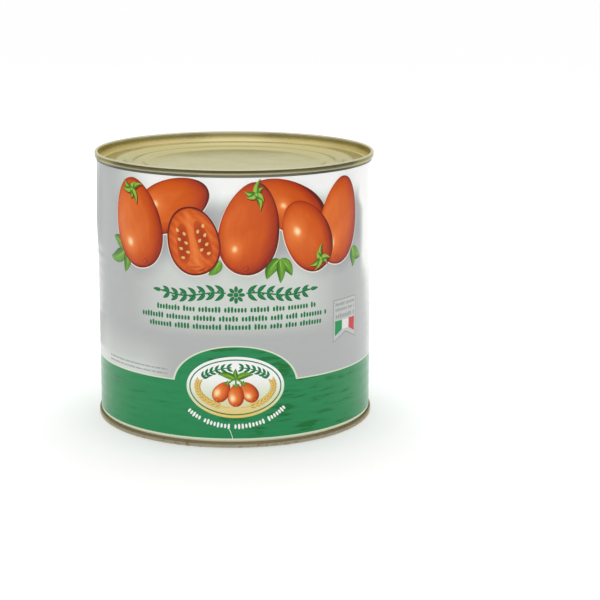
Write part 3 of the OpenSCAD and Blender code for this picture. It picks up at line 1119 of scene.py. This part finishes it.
def label_print(name, s, colours):
    """The label's ground: silver-grey offset print with a soft glow and shadows, made lighter and
    darker in places by painted reflection and shade; a green band with an arch along its foot, a
    pale line round both and a cream margin, under varnish. Darker streaks in the band, most of them
    to the right of its arch, are painted reflections."""
    material, tree = new_tree(name)
    flat = add(tree, "UVMap", uv_map="flat")
    tone = mottled(tree, flat, (1.1, 1.1), 4, 0.03)
    ground = add(tree, "ValToRGB", {"Fac": tone}, stops=[
        (0.0, colours.shadow), (0.35, colours.silver), (0.62, colours.glow),
        (1.0, colours.paper_white),
    ])

    # Distance above the band's edge, and about the distance outside the arch's ellipse
    place = add(tree, "SeparateXYZ", {0: flat})
    height = place.outputs["Y"]
    over_band = add(tree, "Math", {0: height, 1: s.band_top / MM}, operation="SUBTRACT")
    arch_at = add(tree, "Mapping", {
        "Vector": flat, "Location": (0, -s.arch_foot / s.arch_rise, 0),
        "Scale": (MM / s.arch_half, MM / s.arch_rise, 1),
    })
    reach = add(tree, "VectorMath", {0: arch_at}, operation="LENGTH")
    over_arch = add(tree, "Math", {0: reach, 1: s.arch_rise / MM, 2: -s.arch_rise / MM},
                    operation="MULTIPLY_ADD")
    over = add(tree, "Math", {0: over_band, 1: over_arch}, operation="MINIMUM")

    # Painted reflection: darker streaks in the band, 17 by 2.8 mm, for the ripples of the paper
    solid_at = add(tree, "Mapping", {"Vector": flat, "Scale": (1 / 17, 1 / 2.8, 1)})
    solid = add(tree, "TexNoise", {"Vector": solid_at, "Scale": 1, "Detail": 3})
    # The painted reflections are strongest within 24 mm of 34 mm to the right
    streaks_at = 34.0
    aside = add(tree, "Math", {0: place, 1: streaks_at}, operation="SUBTRACT")
    aside = add(tree, "Math", {0: aside}, operation="ABSOLUTE")
    reflection_spread = add(tree, "MapRange", {"Value": aside, "From Min": 24, "From Max": 50,
                                     "To Min": -0.1, "To Max": 0.0})
    green = add(tree, "ValToRGB", {"Fac": add(tree, "Math", {0: solid, 1: reflection_spread})}, stops=[
        (0.28, colours.band_painted_reflection), (0.36, [c * 0.9 for c in colours.band]), (0.6, colours.band),
    ])

    colour = ground
    soft = 0.08
    for value, edge, ink in [
        (over, s.edge_line / MM, colours.cream), (over, 0, green),
        (height, s.margin_top / MM, colours.cream),
    ]:
        share = add(tree, "MapRange", {"Value": value, "From Min": edge + soft,
                                       "From Max": edge - soft})
        colour = add(tree, "Mix", {"Factor": share, "A": colour, "B": ink}, data_type="RGBA")
    varnished(tree, colour)
    return material


# ---------------------------------------------------------------- stage


def seen_share(tree):
    """1 for the rays that the eye follows, straight, mirrored or through glass, and 0 for
    those that light the tin."""
    rays = add(tree, "LightPath")
    share = rays.outputs["Is Camera Ray"]
    for kind in ("Is Glossy Ray", "Is Transmission Ray"):
        share = add(tree, "Math", {0: share, 1: rays.outputs[kind]}, operation="MAXIMUM")
    return share


def stage_quad(name, corners, material):
    """A flat surface of the stage between four corners."""
    mesh = bpy.data.meshes.new(name)
    mesh.from_pydata(corners, [], [(0, 1, 2, 3)])
    mesh.materials.append(material)
    quad = bpy.data.objects.new(name, mesh)
    bpy.context.scene.collection.objects.link(quad)
    return quad


def lay_floor():
    """A matt white floor just below the tin, which keeps its shadow. For seen rays alone it
    glows a little, more away from the tin, so that it meets the white room."""
    material, tree = new_tree("matt_white_floor")
    place = add(tree, "TexCoord").outputs["Object"]
    away = add(tree, "VectorMath", {0: place}, operation="LENGTH")
    level = add(tree, "MapRange", {"Value": away, "From Min": 0.15, "From Max": 0.9,
                                   "To Min": 0.2, "To Max": 0.36})
    lift = add(tree, "Math", {0: seen_share(tree), 1: level}, operation="MULTIPLY")
    matt = add(tree, "BsdfDiffuse", {"Color": linear("EDEDED")})
    glow = add(tree, "Emission", {"Strength": lift})
    add(tree, "OutputMaterial", {"Surface": add(tree, "AddShader", {0: matt, 1: glow})})
    reach = 6.0
    corners = [(-reach, -reach, 0), (reach, -reach, 0), (reach, reach, 0), (-reach, reach, 0)]
    stage_quad("floor", corners, material).location.z = CAD_BOX[0].z - 0.02 * MM


def light_room(s):
    """The world: an even fill that lights the tin, and for seen rays a white room. Its ceiling
    begins 16 degrees up, a little brighter in the middle than at the sides, and there is
    more light overhead, above 50 degrees."""
    world = bpy.data.worlds.new("soft_room")
    bpy.context.scene.world = world
    world.use_nodes = True
    tree = world.node_tree
    tree.nodes.clear()
    way = add(tree, "SeparateXYZ", {0: add(tree, "TexCoord").outputs["Generated"]})
    aside = add(tree, "Math", {0: way}, operation="ABSOLUTE")
    ceiling = add(tree, "MapRange", {
        "Value": aside, "From Min": 0.12, "From Max": 0.5,
        "To Min": s.ceiling, "To Max": s.ceiling_aside,
    }, interpolation_type="SMOOTHSTEP")
    steps = [
        add(tree, "MapRange", {
            "Value": way.outputs["Z"],
            "From Min": sin(radians(low)), "From Max": sin(radians(high)),
            "To Min": level, "To Max": top,
        }, interpolation_type="SMOOTHSTEP")
        for low, high, level, top in [(16, 38, 1.0, ceiling), (50, 64, 0.0, s.zenith)]
    ]
    room = add(tree, "Math", {0: steps[0], 1: steps[1]}, operation="ADD")
    level = add(tree, "Mix", {"Factor": seen_share(tree), "A": s.fill, "B": room})
    light = add(tree, "Background", {"Color": (1, 1, 1), "Strength": level})
    add(tree, "OutputWorld", {"Surface": light})


# Grey cards that stand at the sides and grey mats on the floor behind, in metres. They are
# seen only in mirrored light, where they keep the metal and the varnish from paling
CARD_GREY, MAT_GREY = "B0B0B0", "D0D0D0"
CARD = [(-0.45, -0.95, 0), (-0.75, 0.3, 0), (-0.75, 0.3, 0.26), (-0.45, -0.95, 0.26)]
NEAR_MAT = [(-0.084, 0.15, 0), (-0.18, 0.114, 0), (-0.247, 0.2, 0), (-0.09, 0.26, 0)]
FAR_MAT = [(-0.101, 0.479, 0), (-0.383, 0.374, 0), (-0.691, 0.768, 0), (-0.127, 0.979, 0)]
CARDS = {
    "left_card": (CARD_GREY, CARD),
    "right_card": (CARD_GREY, [(-x, y, z) for x, y, z in CARD]),
    "left_near_mat": (MAT_GREY, NEAR_MAT),
    "left_far_mat": (MAT_GREY, FAR_MAT),
}


def set_cards():
    """Matt grey board and felt. The camera doesn't see them, and they cast no shadow."""
    for name, (grey, corners) in CARDS.items():
        material, tree = new_tree("grey_" + name)
        add(tree, "OutputMaterial", {"Surface": add(tree, "BsdfDiffuse", {"Color": linear(grey)})})
        card = stage_quad(name, corners, material)
        card.visible_camera = card.visible_diffuse = card.visible_shadow = False


def area_lamp(name, size, radiance, place, turn, mirrored):
    """A softbox: a rectangle that sends out radiance evenly, so its power is pi times its area
    times the radiance. The camera doesn't see it, and mirrored says whether metal does."""
    lamp = bpy.data.lights.new(name, "AREA")
    lamp.shape = "RECTANGLE"
    lamp.size, lamp.size_y = size
    lamp.energy = pi * size[0] * size[1] * radiance
    holder = bpy.data.objects.new(name, lamp)
    holder.location = place
    holder.rotation_euler = [radians(a) for a in turn]
    holder.visible_camera = False
    holder.visible_glossy = mirrored
    bpy.context.scene.collection.objects.link(holder)


def set_camera(s):
    """The camera in front of the tin, turned by its yaw, its pitch and then its roll."""
    lens = bpy.data.cameras.new("camera")
    lens.lens, lens.sensor_width = s.lens, 36
    camera = bpy.data.objects.new("camera", lens)
    camera.matrix_world = (
        Matrix.Translation((0, -s.distance, s.eye_height))
        @ Matrix.Rotation(-s.yaw, 4, "Z")
        @ Matrix.Rotation(pi / 2 - s.pitch, 4, "X")
        @ Matrix.Rotation(s.roll, 4, "Z")
    )
    bpy.context.scene.collection.objects.link(camera)
    bpy.context.scene.camera = camera


# ---------------------------------------------------------------- operators


def print_pieces(context, pieces):
    """Prints pieces on the label. Each is a name, its ink and its closed skins, laid out flat,
    which on_label wraps round the tin."""
    sizes = context.scene.tin_label
    for name, ink, skins in pieces:
        for skin in skins:
            skin["points"] = on_label(sizes, skin["across"], skin["height"], skin["lift"])
        new_piece(name, skins, offset_print(ink, context.scene.tin_print))


class TIN_OT_ends(bpy.types.Operator):
    """Adds the two lacquered ends"""

    bl_idname = "tin.ends"
    bl_label = "Ends"

    def execute(self, context):
        s, c = context.scene.tin_ends, context.scene.tin_metal
        # Painted light and shade on the upper rim: its colours at the middle of the front and back,
        # and at the sides
        middle = (c.wall_foot_highlight, c.shoulder_shade, c.seam_foot_shade)
        sides = (c.wall_foot_side_highlight, c.shoulder_side_shade, c.seam_foot_side_shade)
        # The lower rim, the same all round: the chuck wall's foot painted bright, a lighter line
        # above the crown, and the seam's edge
        lower_rim_colours = (c.wall_foot_highlight, c.low_shoulder, c.low_foot)
        upper = stoved_lacquer("gold_stoving_lacquer", c, c.seam_face, middle, sides, 0.15)
        lower = stoved_lacquer(
            "gold_stoving_lacquer_stood_on", c, c.low_face, lower_rim_colours, lower_rim_colours, 0.7
        )
        for name, level, up, material, node in [
            ("upper_end", CAD_BOX[1].z, 1, upper, "top_end"),
            ("lower_end", CAD_BOX[0].z, -1, lower, "bottom_end"),
        ]:
            new_piece(name, [end_skin(s, level, up)], material, [node])
        return {"FINISHED"}


class TIN_OT_wall(bpy.types.Operator):
    """Gives the body wall its tinplate"""

    bl_idname = "tin.wall"
    bl_label = "Wall"

    def execute(self, context):
        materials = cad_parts["can_body"].data.materials
        materials.clear()
        materials.append(rolled_tinplate("electrolytic_tinplate", context.scene.tin_metal))
        return {"FINISHED"}


class TIN_OT_label(bpy.types.Operator):
    """Adds the paper label with its printed ground"""

    bl_idname = "tin.label"
    bl_label = "Label"

    def execute(self, context):
        s = context.scene.tin_label
        ground = label_print("varnished_label_paper", s, context.scene.tin_print)
        new_piece("paper_label", [label_skin(s)], ground, ["label"])
        return {"FINISHED"}


class TIN_OT_fruit(bpy.types.Operator):
    """Prints the plum tomatoes, the cut one, their calyces and the basil"""

    bl_idname = "tin.fruit"
    bl_label = "Fruit picture"

    def execute(self, context):
        flesh, seeds = cut_skins()
        sepals, shades = calyx_skins()
        print_pieces(context, [
            ("fruit_halo", "halo", halo_skins()),
            ("basil_print", "leaf", basil_skins()),
            ("fruit_print", "fruit", fruit_skins()),
            ("cut_fruit_print", "flesh", flesh),
            ("cut_fruit_seeds", "straw", seeds),
            ("calyx_shade", "fruit", shades),
            ("calyx_print", "leaf", sepals),
        ])
        return {"FINISHED"}


class TIN_OT_emblem(bpy.types.Operator):
    """Prints the oval emblem in the band's arch"""

    bl_idname = "tin.emblem"
    bl_label = "Emblem"

    def execute(self, context):
        plate, ring, ears, fruit, leaves = emblem_skins()
        print_pieces(context, [
            ("emblem_ground", "emblem_ground", plate),
            ("emblem_laurel", "dark_green", ring),
            ("emblem_wheat", "straw", ears),
            ("emblem_fruit", "fruit", fruit),
            ("emblem_leaves", "leaf", leaves),
        ])
        return {"FINISHED"}


class TIN_OT_ornaments(bpy.types.Operator):
    """Prints the garland, the rows below it and the marks in the band"""

    bl_idname = "tin.ornaments"
    bl_label = "Ornaments"

    def execute(self, context):
        print_pieces(context, [
            ("garland_print", "dark_green", garland_skins()),
            ("row_print", "dark_green", line_skins()),
            ("band_marks", "white", band_mark_skins()),
        ])
        return {"FINISHED"}


class TIN_OT_tag(bpy.types.Operator):
    """Prints the swallow-tailed tag at the right"""

    bl_idname = "tin.tag"
    bl_label = "Tag"

    def execute(self, context):
        edge, ground, white, green, red = tag_skins()
        print_pieces(context, [
            ("tag_edge", "grey", edge),
            ("tag_ground", "silver", ground),
            ("tag_white_bar", "tag_white", white),
            ("tag_green_bar", "tag_green", green),
            ("tag_red_bar", "tag_red", red),
        ])
        return {"FINISHED"}


class TIN_OT_rows(bpy.types.Operator):
    """Prints the columns and the table at the back, and the fine rows at the left"""

    bl_idname = "tin.rows"
    bl_label = "Back and fine rows"

    def execute(self, context):
        print_pieces(context, [
            ("rear_print", "dark_green", rear_skins()),
            ("fine_rows", "grey", fine_skins()),
        ])
        return {"FINISHED"}


class TIN_OT_stage(bpy.types.Operator):
    """Sets up the floor, the soft light and the camera"""

    bl_idname = "tin.stage"
    bl_label = "Stage"

    def execute(self, context):
        s = context.scene.tin_stage
        lay_floor()
        light_room(s)
        set_cards()
        for name, size, power, at, turn, mirrored in [
            ("overhead_softbox", (1.8, 1.3), s.overhead, (0, 0.6, 0.95), (-32, 0, 0), False),
            ("front_softbox", (2.2, 0.6), s.front, (0, -1.6, 0.42), (82, 0, 0), False),
            ("left_softbox", (0.4, 0.9), s.side, (-0.9, -0.35, 0.5), (0, -72, 20), True),
            ("right_softbox", (0.4, 0.9), s.side, (0.9, -0.35, 0.5), (0, 72, -20), True),
        ]:
            area_lamp(name, size, power, at, turn, mirrored)
        set_camera(s)
        context.scene.view_settings.view_transform = "Standard"
        return {"FINISHED"}


class TIN_PT_sidebar(bpy.types.Panel):
    """The tin's pieces"""

    bl_idname = "TIN_PT_sidebar"
    bl_label = "Seamed food tin"
    bl_space_type = "VIEW_3D"
    bl_region_type = "UI"
    bl_category = "Tin"

    def draw(self, context):
        for piece in PIECES:
            self.layout.operator(piece.bl_idname)


PIECES = (
    TIN_OT_ends, TIN_OT_wall, TIN_OT_label, TIN_OT_fruit, TIN_OT_emblem, TIN_OT_ornaments,
    TIN_OT_tag, TIN_OT_rows, TIN_OT_stage,
)
SETTINGS = {
    "tin_ends": EndSizes, "tin_label": LabelSizes, "tin_metal": MetalColours,
    "tin_print": PrintColours, "tin_stage": StageSettings,
}


def register():
    for name, group in SETTINGS.items():
        bpy.utils.register_class(group)
        setattr(bpy.types.Scene, name, PointerProperty(type=group))
    for piece in PIECES:
        bpy.utils.register_class(piece)
    bpy.utils.register_class(TIN_PT_sidebar)


def unregister():
    bpy.utils.unregister_class(TIN_PT_sidebar)
    for piece in reversed(PIECES):
        bpy.utils.unregister_class(piece)
    for name, group in reversed(SETTINGS.items()):
        delattr(bpy.types.Scene, name)
        bpy.utils.unregister_class(group)


def main():
    register()
    bpy.ops.tin.ends()
    bpy.ops.tin.wall()
    bpy.ops.tin.label()
    bpy.ops.tin.fruit()
    bpy.ops.tin.emblem()
    bpy.ops.tin.ornaments()
    bpy.ops.tin.tag()
    bpy.ops.tin.rows()
    bpy.ops.tin.stage()


if __name__ == "__main__":
    main()
